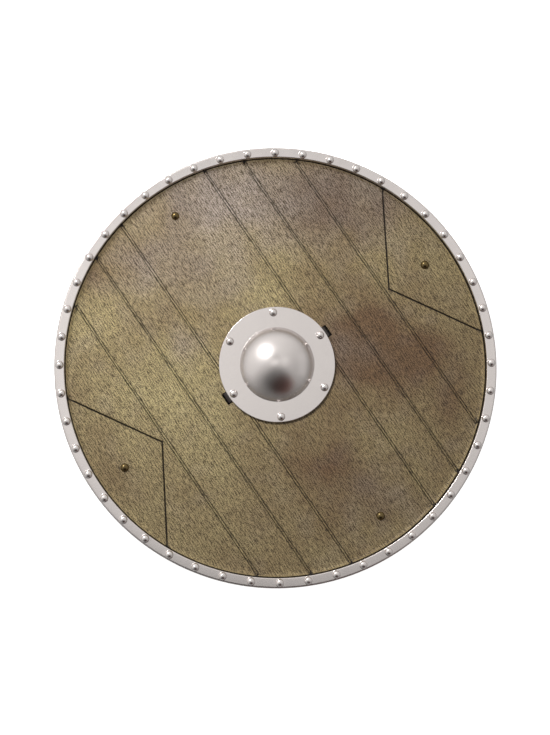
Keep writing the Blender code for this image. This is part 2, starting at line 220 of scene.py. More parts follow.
# %% [markdown]
# Silver lacquer on moulded plastic. The rim and the boss of such a shield are plastic, sprayed with a
# lacquer full of fine aluminium flakes. It is not polished metal: reflections are soft, the flats look
# even and pale, and the sprayed skin has a faint orange peel. So it is mostly metallic, with a medium
# roughness that varies a little, and a bump about two millimetres wide, so shallow that it only breaks up
# the reflections.


# %% Silver lacquer
PEEL_SIZE = 2.2 * MM
CLOUD_SIZE = 18 * MM


def silver_lacquer():
    """Aluminium flake lacquer, sprayed."""
    surface, tree, shader = new_surface("silver_lacquer_on_plastic", Metallic=1.0)
    place = add_node(tree, "ShaderNodeTexCoord").outputs["Object"]
    clouds = add_node(tree, "ShaderNodeTexNoise", None,
                      {"Vector": place, "Scale": 1 / CLOUD_SIZE, "Detail": 3.0})
    tint = add_node(tree, "ShaderNodeMix", {"data_type": "RGBA"},
                    {"Factor": clouds.outputs["Fac"], 6: linear("#D6D0CE"), 7: linear("#E0DAD7")})
    tree.links.new(tint.outputs[2], shader.inputs["Base Color"])
    spray = add_node(tree, "ShaderNodeMapRange", None,
                     {"Value": clouds.outputs["Fac"], "To Min": 0.22, "To Max": 0.28})
    tree.links.new(spray.outputs["Result"], shader.inputs["Roughness"])
    peel = add_node(tree, "ShaderNodeTexNoise", None,
                    {"Vector": place, "Scale": 1 / PEEL_SIZE, "Detail": 2.0})
    bump = add_node(tree, "ShaderNodeBump", None,
                    {"Height": peel.outputs["Fac"], "Strength": 0.10, "Distance": 0.25 * MM})
    tree.links.new(bump.outputs["Normal"], shader.inputs["Normal"])
    return surface


silver = silver_lacquer()
print("made", silver.name)

# %% [markdown]
# The rim is one moulded ring: a band in front that laps over the board, and a deep wall behind it on
# which the shield lies. Its front edges are rolled, so the outer one catches the light and the inner one
# goes dark where it turns away from it. It could be a torus cut in half, but a pulled section gives the
# true wall, the lip and the step that carries the board.

# %% Rim: the turned ring
RIM_SIDES = 192
RIM_WALL = 2.2 * MM
BAND_WIDTH = 11.5 * MM
SHOULDER_WIDTH = 1.0 * MM
band_inner = SHIELD_RADIUS - BAND_WIDTH
wall_inner = SHIELD_RADIUS - RIM_WALL
lip_foot = BOARD_FACE - 0.2 * MM
shoulder_top = BOARD_BACK - CLEARANCE
shoulder_inner = wall_inner - SHOULDER_WIDTH
band_back = BAND_TOP - RIM_WALL
rim_section = [
    (SHIELD_RADIUS, 0.0, 0.5 * MM),
    (SHIELD_RADIUS, BAND_TOP, 2.2 * MM),
    (band_inner, BAND_TOP, 1.0 * MM),
    (band_inner, lip_foot, 0.0),
    (band_inner + RIM_WALL, lip_foot, 0.0),
    (band_inner + RIM_WALL, band_back, 0.8 * MM),
    (wall_inner, band_back, 0.8 * MM),
    (wall_inner, shoulder_top, 0.0),
    (shoulder_inner, shoulder_top, 0.3 * MM),
    (shoulder_inner, 0.0, 0.5 * MM),
]
rim = turned("rim_ring", rounded(rim_section), RIM_SIDES, closed=True)
print("rim section has", len(rounded(rim_section)), "points")

# %% [markdown]
# The heads look like rivets but are moulded with the rim and the boss. One is modelled as a flattened
# half ball with a small hollow fillet at its foot, as a mould leaves it, and then copied. Each copy has
# its own mesh, and a Boolean union makes them one skin with the band.


# %% Helpers that copy and combine
def copies(model, places):
    """Copies of a modelled shape, each with its own mesh, joined into one object."""
    made = []
    for place in places:
        copy = model.copy()
        copy.data = model.data.copy()
        copy.data.transform(place)
        bpy.context.scene.collection.objects.link(copy)
        made.append(copy)
    bpy.data.objects.remove(model)
    take(made[0])
    for copy in made:
        copy.select_set(True)
    if len(made) > 1:
        bpy.ops.object.join()
    return made[0]


def around(count, radius, first_angle=0.0):
    """Places on a circle about Z, turned to face outwards."""
    turns = [first_angle + index * FULL_TURN / count for index in range(count)]
    return [Matrix.Rotation(turn, 4, "Z") @ Matrix.Translation((radius, 0, 0)) for turn in turns]


def combine(piece, other, operation):
    """Join another closed shape to a piece, or cut it away."""
    take(piece)
    step = piece.modifiers.new(operation.lower(), "BOOLEAN")
    step.operation = operation
    step.object = other
    bpy.ops.object.modifier_apply(modifier=step.name)
    bpy.data.objects.remove(other)


# %% Heads on the rim
RIM_HEADS = 48
HEAD_INSET = 6.3 * MM
HEAD_SIDES = 24
HEAD_RINGS = 7
FILLET = 0.45 * MM
HEAD_ROOT = 0.6 * MM


def moulded_head(name, seat):
    """Round head that stands on a seat and reaches a little below it."""
    turns = [math.pi / 2 * ring / HEAD_RINGS for ring in range(HEAD_RINGS)]
    dome = [(HEAD_RADIUS * math.sin(turn), seat + HEAD_HEIGHT * math.cos(turn)) for turn in turns]
    foot = [
        (HEAD_RADIUS, seat + FILLET),
        (HEAD_RADIUS + 0.3 * FILLET, seat + 0.3 * FILLET),
        (HEAD_RADIUS + FILLET, seat - 0.02 * MM),
        (HEAD_RADIUS + FILLET, seat - HEAD_ROOT),
        (0.0, seat - HEAD_ROOT),
    ]
    return turned(name, dome + foot, HEAD_SIDES)


half_step = FULL_TURN / RIM_HEADS / 2
rim_heads = copies(moulded_head("rim_head", BAND_TOP),
                   around(RIM_HEADS, SHIELD_RADIUS - HEAD_INSET, half_step))
combine(rim, rim_heads, "UNION")
print("rim and heads:", len(rim.data.polygons), "faces")

# %% [markdown]
# Every piece is finished alike. It is shaded softly except along its sharp edges, gets its material, rides
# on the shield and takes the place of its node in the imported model.


# %% Helpers that finish a piece
def smooth(piece, degrees=35, even=False):
    """Shade softly, but keep edges that turn by more than an angle; even keeps flat faces flat."""
    take(piece)
    bpy.ops.object.shade_smooth_by_angle(angle=math.radians(degrees))
    if even:
        weights = piece.modifiers.new("weighted normals", "WEIGHTED_NORMAL")
        weights.keep_sharp = True
        bpy.ops.object.modifier_apply(modifier=weights.name)


def finish_piece(piece, surface, slot, *nodes):
    """Give a piece its finish, let it ride on the shield and stand for its CAD node."""
    if surface:
        piece.data.materials.clear()
        piece.data.materials.append(surface)
    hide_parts(*nodes)
    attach(piece, "root")
    piece.data.calc_loop_triangles()
    print(piece.name, "has", len(piece.data.loop_triangles), "triangles")


# %% Rim: finish
smooth(rim, even=True)
finish_piece(rim, silver, "silver_lacquered_plastic", "rim")

# %% [markdown]
# The boss is a thin shell: a dome that is part of a ball, a flat flange and a short skirt that stands on
# the board. It is hollow behind, where the hand goes. The foot of the dome is filleted, the flange's edge
# is rounded, and the six heads are the same as on the rim. Pegs under the heads run through the board and
# end in flattened caps.

# %% Boss: dome, flange and skirt
BOSS_SIDES = 128
BOSS_WALL = 1.4 * MM
DOME_RADIUS = 42.3 * MM
DOME_RINGS = 22
dome_height = boss_high.z - FLANGE_TOP
ball = (DOME_RADIUS ** 2 + dome_height ** 2) / (2 * dome_height)
ball_centre = boss_high.z - ball
skirt_foot = BOARD_FACE + CLEARANCE
flange_under = FLANGE_TOP - BOSS_WALL


def ball_arc(radius, foot_height, rings):
    """Part of a ball from its top down to a height, as (radius, height, rounding) corners."""
    half_angle = math.acos((foot_height - ball_centre) / radius)
    turns = [half_angle * ring / rings for ring in range(rings + 1)]
    return [(radius * math.sin(turn), ball_centre + radius * math.cos(turn), 0.0) for turn in turns]


outer_dome = ball_arc(ball, FLANGE_TOP, DOME_RINGS)
inner_dome = ball_arc(ball - BOSS_WALL, flange_under, DOME_RINGS // 2)
outer_foot = (*outer_dome[-1][:2], 0.5 * MM)
inner_foot = (*inner_dome[-1][:2], 0.6 * MM)
boss_section = outer_dome[:-1] + [
    outer_foot,
    (BOSS_RADIUS, FLANGE_TOP, 0.7 * MM),
    (BOSS_RADIUS, skirt_foot, 0.2 * MM),
    (BOSS_RADIUS - BOSS_WALL, skirt_foot, 0.0),
    (BOSS_RADIUS - BOSS_WALL, flange_under, 0.0),
    inner_foot,
] + inner_dome[-2::-1]
boss = turned("boss_shell", rounded(boss_section), BOSS_SIDES)
print("dome rises", round(dome_height / MM, 1), "mm")

# %% Boss: heads, pegs and the two notches for the strap
BOSS_HEADS = 6
BOSS_HEAD_INSET = 6.4 * MM
PEG_RADIUS = 1.8 * MM
PEG_SIDES = 20
CAP_RADIUS = 3.2 * MM
CAP_HEIGHT = 1.2 * MM
NOTCH_HALF = 7.0 * MM
NOTCH_HEIGHT = 2.05 * MM
boss_places = around(BOSS_HEADS, BOSS_RADIUS - BOSS_HEAD_INSET)
peg_top = FLANGE_TOP - 0.3 * MM
cap_top = BOARD_BACK - CLEARANCE
peg_section = [
    (0.0, peg_top, 0.0),
    (PEG_RADIUS, peg_top, 0.0),
    (PEG_RADIUS, cap_top, 0.0),
    (CAP_RADIUS, cap_top, 0.2 * MM),
    (CAP_RADIUS, cap_top - CAP_HEIGHT, 0.5 * MM),
    (0.0, cap_top - CAP_HEIGHT, 0.0),
]


def block(low, high):
    """Closed box between two corners, for cutting."""
    start_piece()
    low, high = Vector(low), Vector(high)
    bpy.ops.mesh.primitive_cube_add(size=1, location=(low + high) / 2)
    made = bpy.context.object
    made.scale = high - low
    bpy.ops.object.transform_apply(location=True, rotation=True, scale=True)
    return made


for side in (-1, 1):
    near, far = sorted((side * (BOSS_RADIUS - 2 * BOSS_WALL), side * (BOSS_RADIUS + 2 * MM)))
    notch = block((near, -NOTCH_HALF, BOARD_FACE - 1 * MM), (far, NOTCH_HALF, BOARD_FACE + NOTCH_HEIGHT))
    combine(boss, notch, "DIFFERENCE")
combine(boss, copies(moulded_head("boss_head", FLANGE_TOP), boss_places), "UNION")
combine(boss, copies(turned("boss_peg", rounded(peg_section, 3), PEG_SIDES), boss_places), "UNION")
smooth(boss, even=True)
finish_piece(boss, silver, "silver_lacquered_plastic", "boss")

# %% [markdown]
# The board is one moulded panel that imitates seven planks with two wedge-shaped patches. Its grain is
# in the mould, so it is made in the mesh: every plank is a fine grid, narrow across the grain and long
# along it, and the points are then moved up and down. A seam is a pair of thin grooves, and a groove is
# only crisp if the mesh has edges along it, so narrow strips with edges on the lips and the bottom of
# each groove lie between the planks.

# %% Board: the plank grids
COLUMN = 0.90 * MM
ROW = 2.4 * MM
FACE_REACH = 233.6 * MM
MIDDLE_PLANK = 114 * MM
SIDE_PLANKS = (44 * MM, 49.5 * MM)
SEAM_GROOVE = 1.3 * MM
SEAM_LIP = 0.5 * MM
seams = [MIDDLE_PLANK / 2]
for width in SIDE_PLANKS:
    seams.append(seams[-1] + width)
plank_edges = [-FACE_REACH] + [-place for place in reversed(seams)] + seams + [FACE_REACH]
strip_edges = [-FACE_REACH, FACE_REACH]
for seam in plank_edges[1:-1]:
    for side in (-1, 1):
        strip_edges += [seam + side * (SEAM_GROOVE + shift) for shift in (-SEAM_LIP, 0, SEAM_LIP)]
strip_edges.sort()
rows = round(2 * FACE_REACH / ROW)
strips = []
for left, right in zip(strip_edges, strip_edges[1:]):
    start_piece()
    columns = max(1, round((right - left) / COLUMN))
    bpy.ops.mesh.primitive_grid_add(x_subdivisions=columns, y_subdivisions=rows, size=1,
                                    location=((left + right) / 2, 0, BOARD_FACE))
    strip = bpy.context.object
    strip.scale = (right - left, 2 * FACE_REACH, 1)
    bpy.ops.object.transform_apply(location=True, rotation=True, scale=True)
    strips.append(strip)
take(strips[0])
for strip in strips:
    strip.select_set(True)
bpy.ops.object.join()
board = bpy.context.object
board.name = "plank_board"
print("seams at", [round(place / MM, 1) for place in seams], "mm;", len(board.data.polygons), "faces")

# %% [markdown]
# The patches are outlined by wider V-shaped grooves that run across the grid at a slant. Here the board
# is bisected along the lips and the bottom of each groove, near that groove alone. Then all faces that
# lie outside the round face are deleted.

# %% Board: edges along the grooves of the patches
WEDGE_CORNER = SHIELD_RADIUS - 94 * MM
WEDGE_ANGLE = math.radians(58.9)
GROOVE_HALF = 1.35 * MM
CUT_BEFORE = 4 * MM
CUT_BESIDE = 5 * MM
wedge_lines = []
for side in (-1, 1):
    for turn in (-1, 1):
        along = Vector((side * math.cos(WEDGE_ANGLE), turn * math.sin(WEDGE_ANGLE), 0))
        across = Vector((-along.y, along.x, 0))
        wedge_lines.append((Vector((side * WEDGE_CORNER, 0, BOARD_FACE)), along, across))


def select_faces(piece, wanted):
    """Select the faces whose middle passes a test."""
    bpy.ops.object.mode_set(mode="OBJECT")
    flags = [wanted(face.center) for face in piece.data.polygons]
    bpy.ops.object.mode_set(mode="EDIT")
    bpy.ops.mesh.select_mode(type="FACE")
    bpy.ops.mesh.select_all(action="DESELECT")
    bpy.ops.object.mode_set(mode="OBJECT")
    piece.data.polygons.foreach_set("select", flags)
    bpy.ops.object.mode_set(mode="EDIT")


bpy.ops.object.mode_set(mode="EDIT")
bpy.ops.mesh.select_all(action="SELECT")
bpy.ops.mesh.remove_doubles(threshold=0.01 * MM)
for corner, along, across in wedge_lines:
    for offset in (-GROOVE_HALF, 0.0, GROOVE_HALF):
        def near_line(middle):
            way = middle - corner
            return way.dot(along) > -CUT_BEFORE and abs(way.dot(across)) < CUT_BESIDE
        select_faces(board, near_line)
        bpy.ops.mesh.bisect(plane_co=corner + across * offset, plane_no=across)
select_faces(board, lambda middle: middle.xy.length > FACE_REACH + ROW / 2)
bpy.ops.mesh.delete(type="FACE")
bpy.ops.object.mode_set(mode="OBJECT")
print("face of the board:", len(board.data.polygons), "faces")

# %% [markdown]
# Now the mould's relief. Height is a sum of noise that is stretched along the grain: a fine one for the
# pores and a broad one for the growth rings. Each plank and patch reads the noise at a place of its own,
# so the grain breaks at every seam as it does between real planks, and it bends around three small knots.

# %% Board: the grain
PORE_WIDTH = 1.5 * MM
PORE_LENGTH = 10 * MM
RING_WIDTH = 6.0 * MM
RING_LENGTH = 60 * MM
PORE_HEIGHT = 0.10 * MM
RING_HEIGHT = 0.06 * MM
KNOT_STRETCH = 2.2
KNOT_PULL_ACROSS = 0.55
KNOT_PULL_ALONG = 0.8
KNOTS = ((79.9 * MM, -89 * MM, 7 * MM), (-31 * MM, 168 * MM, 5 * MM), (-128 * MM, 62 * MM, 5 * MM))


def in_patch(x, y):
    """True inside either wedge patch."""
    return abs(x) > WEDGE_CORNER and abs(y) < (abs(x) - WEDGE_CORNER) * math.tan(WEDGE_ANGLE)


def plank_number(x, y):
    """A different whole number for each plank and each patch."""
    if in_patch(x, y):
        return 20 if x > 0 else 21
    return sum(x > edge for edge in plank_edges)


def grain(x, y):
    """Height of the pores and of the growth rings, from -1 to 1, bent around the knots."""
    number = plank_number(x, y)
    for knot_x, knot_y, size in KNOTS:
        away = Vector(((x - knot_x) / size, (y - knot_y) / (KNOT_STRETCH * size)))
        pull = math.exp(-away.length_squared / 2)
        x += (knot_x - x) * KNOT_PULL_ACROSS * pull
        y += (knot_y - y) * KNOT_PULL_ALONG * pull
    pores = noise.noise(Vector((x / PORE_WIDTH, y / PORE_LENGTH + 31 * number, number * 7.3)))
    rings = noise.noise(Vector((x / RING_WIDTH + 17 * number, y / RING_LENGTH, number * 3.1)))
    return pores, rings


print("grain at the middle of a plank:", [round(value, 2) for value in grain(0.0, 0.1)])

# %% [markdown]
# A plank seam is a pair of thin grooves with a ridge between them, and the edge of a patch is a single
# deeper one. Like the grain, both are functions of the place on the board, so the same functions later
# tell the paint where the ridges and the hollows are. By the rim the grain fades out, and the whole face
# lies a hair lower than the solid's, so that no ridge stands out of it.

# %% Board: the grooves
SEAM_DEPTH = 0.9 * MM
SEAM_RIDGE = 0.1
WEDGE_DEPTH = 1.3 * MM


def wedge_places(x, y):
    """For each patch edge: the way along it and the signed way across it."""
    for corner, along, across in wedge_lines:
        way = Vector((x - corner.x, y - corner.y, 0))
        yield way.dot(along), way.dot(across)


def groove(distance, half_width):
    """Depth of a V groove, from 1 in its middle to 0 at its lips."""
    return max(0.0, 1 - abs(distance) / half_width)


def seam_shape(x, y):
    """Depth of the plank seams: a pair of thin grooves at each, with a lower ridge between."""
    if in_patch(x, y):
        return 0.0
    away = min(abs(abs(x) - place) for place in seams)
    ridge = SEAM_RIDGE if away < SEAM_GROOVE else 0.0
    return max(groove(away - SEAM_GROOVE, SEAM_LIP), ridge)


def wedge_shape(x, y):
    """Depth of the grooves around the patches."""
    return max(groove(across, GROOVE_HALF) if along > -GROOVE_HALF else 0.0
               for along, across in wedge_places(x, y))


# %% Board: move the points
FADE_WIDTH = 3 * MM
EDGE_LAND = 1.5 * MM
FACE_SINK = 0.1 * MM


def ease(value):
    """Soft step from 0 to 1."""
    value = max(0.0, min(1.0, value))
    return value * value * (3 - 2 * value)


def relief(x, y):
    """Height of the board's face above its flat, in metres."""
    fade = ease((FACE_REACH - EDGE_LAND - math.hypot(x, y)) / FADE_WIDTH)
    pores, rings = grain(x, y)
    height = (PORE_HEIGHT * pores + RING_HEIGHT * rings) * fade
    seam = max(SEAM_DEPTH * seam_shape(x, y), WEDGE_DEPTH * wedge_shape(x, y))
    return height - seam - FACE_SINK


for point in board.data.vertices:
    point.co.z += relief(point.co.x, point.co.y)
heights = [point.co.z for point in board.data.vertices]
print("relief from", round((min(heights) - BOARD_FACE) / MM, 2), "to",
      round((max(heights) - BOARD_FACE) / MM, 2), "mm")

# %% [markdown]
# The relief is only a skin so far. Its edge is pulled down and closed, which makes it a thin slab, and
# the rest of the board is turned: the raised bead with its hollow slope, the ledge under the rim and the
# plain back. The seams and grooves are carried on through the bead, a union joins the two, and the hand
# hole, the strap slots and the holes for pegs and studs are cut through both.

# %% Board: close the relief into a slab
slab_bottom = BOARD_FACE - 2.4 * MM
take(board)
bpy.ops.object.mode_set(mode="EDIT")
bpy.ops.mesh.select_mode(type="EDGE")
bpy.ops.mesh.select_all(action="SELECT")
bpy.ops.mesh.region_to_loop()
bpy.ops.mesh.extrude_region_move(TRANSFORM_OT_translate={"value": (0, 0, slab_bottom - BOARD_FACE)})
bpy.ops.transform.resize(value=(1, 1, 0), center_override=(0, 0, slab_bottom))
bpy.ops.mesh.edge_face_add()
bpy.ops.mesh.select_all(action="SELECT")
bpy.ops.mesh.normals_make_consistent(inside=False)
bpy.ops.object.mode_set(mode="OBJECT")
print("slab is", round((BOARD_FACE - slab_bottom) / MM, 1), "mm thick")

# %% Board: turn the bead, the ledge and the back
BOARD_SIDES = 192
BEAD_RADIUS = band_inner - 1.0 * MM
BEAD_WIDTH = 4.6 * MM
BEAD_LAND = 0.6 * MM
BEAD_RINGS = 8
SLOPE_SINK = 0.12 * MM
HAND_HOLE = 38 * MM
LEDGE_THICKNESS = 2.5 * MM
core_top = BOARD_FACE - 1.6 * MM
bead_height = BEAD_TOP - BOARD_FACE
slope_start = BEAD_RADIUS - BEAD_WIDTH
slope = []
for ring in range(BEAD_RINGS + 1):
    turn = math.pi / 2 * ring / BEAD_RINGS
    slope.append((slope_start + (BEAD_WIDTH - BEAD_LAND) * math.sin(turn),
                  BOARD_FACE + bead_height * (1 - math.cos(turn)) - SLOPE_SINK * (1 - ring / BEAD_RINGS),
                  0.0))
ledge = board_low.z + LEDGE_THICKNESS
core_inner = slope_start - 1 * MM
core_section = [(core_inner, core_top, 0.0), (core_inner, BOARD_FACE - 0.3 * MM, 0.0)]
core_section += slope + [
    (BEAD_RADIUS, BEAD_TOP, 0.25 * MM),
    (BEAD_RADIUS, ledge, 0.0),
    (BOARD_RADIUS, ledge, 0.0),
    (BOARD_RADIUS, BOARD_BACK, 0.3 * MM),
    (HAND_HOLE, BOARD_BACK, 0.4 * MM),
    (HAND_HOLE, core_top, 0.0),
]
core = turned("board_core", rounded(core_section, 3), BOARD_SIDES, closed=True)
print("bead rises", round(bead_height / MM, 2), "mm above the face")

# %% Board: carry the grooves through the bead, and join
CUT_START = slope_start - 2 * MM


def edge_cutters(half_width, places):
    """Bars that carry a groove through the bead; each place puts the bar's X along the groove."""
    low = (0, -half_width, BOARD_FACE - SEAM_DEPTH)
    high = (BEAD_WIDTH + 3 * MM, half_width, BEAD_TOP + 1 * MM)
    return copies(block(low, high), places)


def reach(start, way, radius):
    """Distance from a point along a way to a circle about the shield's middle."""
    middle = start.x * way.x + start.y * way.y
    return math.sqrt(middle ** 2 + radius ** 2 - start.x ** 2 - start.y ** 2) - middle


seam_ends = []
for place in plank_edges[1:-1]:
    for side in (-1, 1):
        end = side * math.sqrt(CUT_START ** 2 - place ** 2)
        seam_ends.append(Matrix.Translation((place, end, 0)) @ Matrix.Rotation(side * math.pi / 2, 4, "Z"))
wedge_ends = []
for corner, along, across in wedge_lines:
    end = corner + along * reach(corner, along, CUT_START)
    turn = Matrix.Rotation(math.atan2(along.y, along.x), 4, "Z")
    wedge_ends.append(Matrix.Translation((end.x, end.y, 0)) @ turn)
combine(core, edge_cutters(SEAM_GROOVE + SEAM_LIP / 2, seam_ends), "DIFFERENCE")
combine(core, edge_cutters(GROOVE_HALF * 0.7, wedge_ends), "DIFFERENCE")
combine(board, core, "UNION")
print("board with its bead:", len(board.data.polygons), "faces")

# %% Board: cut the holes
HOLE_SIDES = 20
PEG_HOLE = 2.1 * MM
STUD_HOLE = 1.9 * MM
SLOT_INNER = 65.2 * MM
SLOT_OUTER = 71.5 * MM
STUD_INSET = 43.7 * MM
stud_places = around(4, SHIELD_RADIUS - STUD_INSET)
cut_bottom = BOARD_BACK - 1 * MM
cut_top = BOARD_FACE + 2 * MM


def round_cutter(radius, places, bottom, top, sides=HOLE_SIDES):
    """Straight round bars between two heights."""
    profile = [(0.0, bottom), (radius, bottom), (radius, top), (0.0, top)]
    return copies(turned("cutter", profile, sides), places)


combine(board, round_cutter(HAND_HOLE, [Matrix()], cut_bottom, cut_top, sides=96), "DIFFERENCE")
combine(board, round_cutter(PEG_HOLE, boss_places, cut_bottom, cut_top), "DIFFERENCE")
combine(board, round_cutter(STUD_HOLE, stud_places, cut_bottom, cut_top), "DIFFERENCE")
for side in (-1, 1):
    near, far = sorted((side * SLOT_INNER, side * SLOT_OUTER))
    combine(board, block((near, -NOTCH_HALF, cut_bottom), (far, NOTCH_HALF, cut_top)), "DIFFERENCE")
print("board with its holes:", len(board.data.polygons), "faces")

# %% [markdown]
# The paint needs to know where it is. Five numbers are stored on the mesh: how high the grain stands, how
# deep a groove is, with painted shade in the gap under the rim added to it, how gold or dark the spray was
# there, where a grey mist lies over it, and how far the raised edge by the rim is rubbed and lightened,
# partly as painted light against the rim's shadow. The clouds of spray are soft spots at listed places,
# broken up by noise, as from an airbrush.

# %% Board: what the paint reads
DARK_CLOUDS = (
    (165, 125, 46, 1.1), (118, 160, 45, 0.4), (90, -42, 46, 1.2), (142, -88, 44, 0.9),
    (-12, -132, 52, 0.85), (-222, -3, 26, 0.35), (-182, -48, 34, 0.3), (18, 207, 46, 0.35),
    (-112, 212, 40, 0.6), (205, 70, 30, 0.5), (30, -20, 60, 0.25), (10, -195, 34, 0.35),
    (125, -5, 60, 0.35), (145, -150, 46, 0.5),
)
GOLD_CLOUDS = (
    (-142, 157, 40, 0.7), (-127, -43, 42, 0.45), (-130, 50, 58, 0.85), (28, 77, 40, 0.6),
    (48, -138, 34, 0.3), (38, 165, 45, 0.4), (85, 112, 40, 0.3), (-200, -60, 50, 0.4),
    (190, 25, 36, 0.4), (-88, 20, 45, 0.4),
)
GREY_CLOUDS = (
    (50, 205, 62, 1.0), (200, 110, 60, 0.7), (115, 150, 50, 0.6), (-60, 175, 40, 0.6),
    (0, 120, 34, 0.4), (-70, 75, 22, 0.4), (75, -30, 30, 0.4), (10, -190, 40, 0.3),
)
BOARD_DRIFT = 34 * MM
SMALL_DRIFT = 11 * MM
MIST_DRIFT = 22 * MM
PORE_SHARE = 0.65
# Painted shade: how strongly the gap between the bead and the rim takes the dark colour.
GAP_SHADE = 0.7
# The raised bead by the rim is painted paler, partly as wear and partly as painted light that offsets the
# rim's shadow on its slope.
RUBBED_AND_LIT = 0.3
RUBBED_AND_LIT_WIDTH = 2.0 * MM


def clouds(spots, x, y):
    """Sum of soft round spots, given in millimetres as (x, y, size, strength)."""
    total = 0.0
    for spot_x, spot_y, size, strength in spots:
        gap = math.hypot(x / MM - spot_x, y / MM - spot_y) / size
        total += strength * math.exp(-gap * gap)
    return total


def drift(x, y, size):
    """Slow noise from -1 to 1."""
    return noise.noise(Vector((x / size, y / size, 4.2)))


stored = {name: [] for name in ("grain_height", "groove_wash_and_gap_shade", "cloud_tone", "grey_mist", "bead_wear_and_light")}
for point in board.data.vertices:
    x, y = point.co.x, point.co.y
    pores, rings = grain(x, y)
    stored["grain_height"].append(0.5 + 0.5 * (PORE_SHARE * pores + (1 - PORE_SHARE) * rings))
    out = math.hypot(x, y)
    # Painted shade: the bead's outer wall and the ledge, in the gap under the rim, take the dark colour of
    # the grooves.
    in_shaded_gap = out > BEAD_RADIUS - 0.1 * MM and point.co.z < BEAD_TOP - 0.4 * MM
    stored["groove_wash_and_gap_shade"].append(max(seam_shape(x, y), wedge_shape(x, y), GAP_SHADE if in_shaded_gap else 0.0))
    stored["grey_mist"].append(clouds(GREY_CLOUDS, x, y) + 0.25 * drift(y, x, MIST_DRIFT))
    # Partly painted light: the bead is lightened towards the rim to offset the rim's shadow, as well as
    # rubbed.
    stored["bead_wear_and_light"].append(RUBBED_AND_LIT * ease((out - BEAD_RADIUS + RUBBED_AND_LIT_WIDTH) / (1.5 * MM)))
    tone = clouds(GOLD_CLOUDS, x, y) - clouds(DARK_CLOUDS, x, y)
    slow = 0.20 * drift(x, y, BOARD_DRIFT)
    stored["cloud_tone"].append(0.5 + 0.5 * tone + slow + 0.06 * drift(x, y, SMALL_DRIFT))
for name, values in stored.items():
    attribute = board.data.attributes.new(name, "FLOAT", "POINT")
    attribute.data.foreach_set("value", values)
print("stored", ", ".join(stored))

# %% [markdown]
# The paint: a dark umber wash that stays in the pores, seams and grooves, and over it a gold-brown metallic
# paint, put on with a nearly dry brush. The same dark colour is painted shade in the gap between the board
# and the rim. Such a brush leaves faint lines along the grain, short broken bristle marks, and specks where
# it only touched the ridges, so the share of gold is a sum of these three patterns and of the height of the
# grain. Real bristle marks are finer than the picture can show, so they are drawn a little coarser. Where
# the airbrush passed, the gold turns to a grey brown. The raised edge by the rim is painted paler, partly
# as rubbed paint and partly as painted light that offsets the rim's shadow on its slope. The flakes in the
# paint give the ridges a soft sheen.


# %% Plank paint
LINE_SPACING = 2.8 * MM
LINE_STRETCH = 0.12
BRISTLE_WIDTH = 0.85 * MM
BRISTLE_LENGTH = 7 * MM
SPECK_SIZE = 1.0 * MM


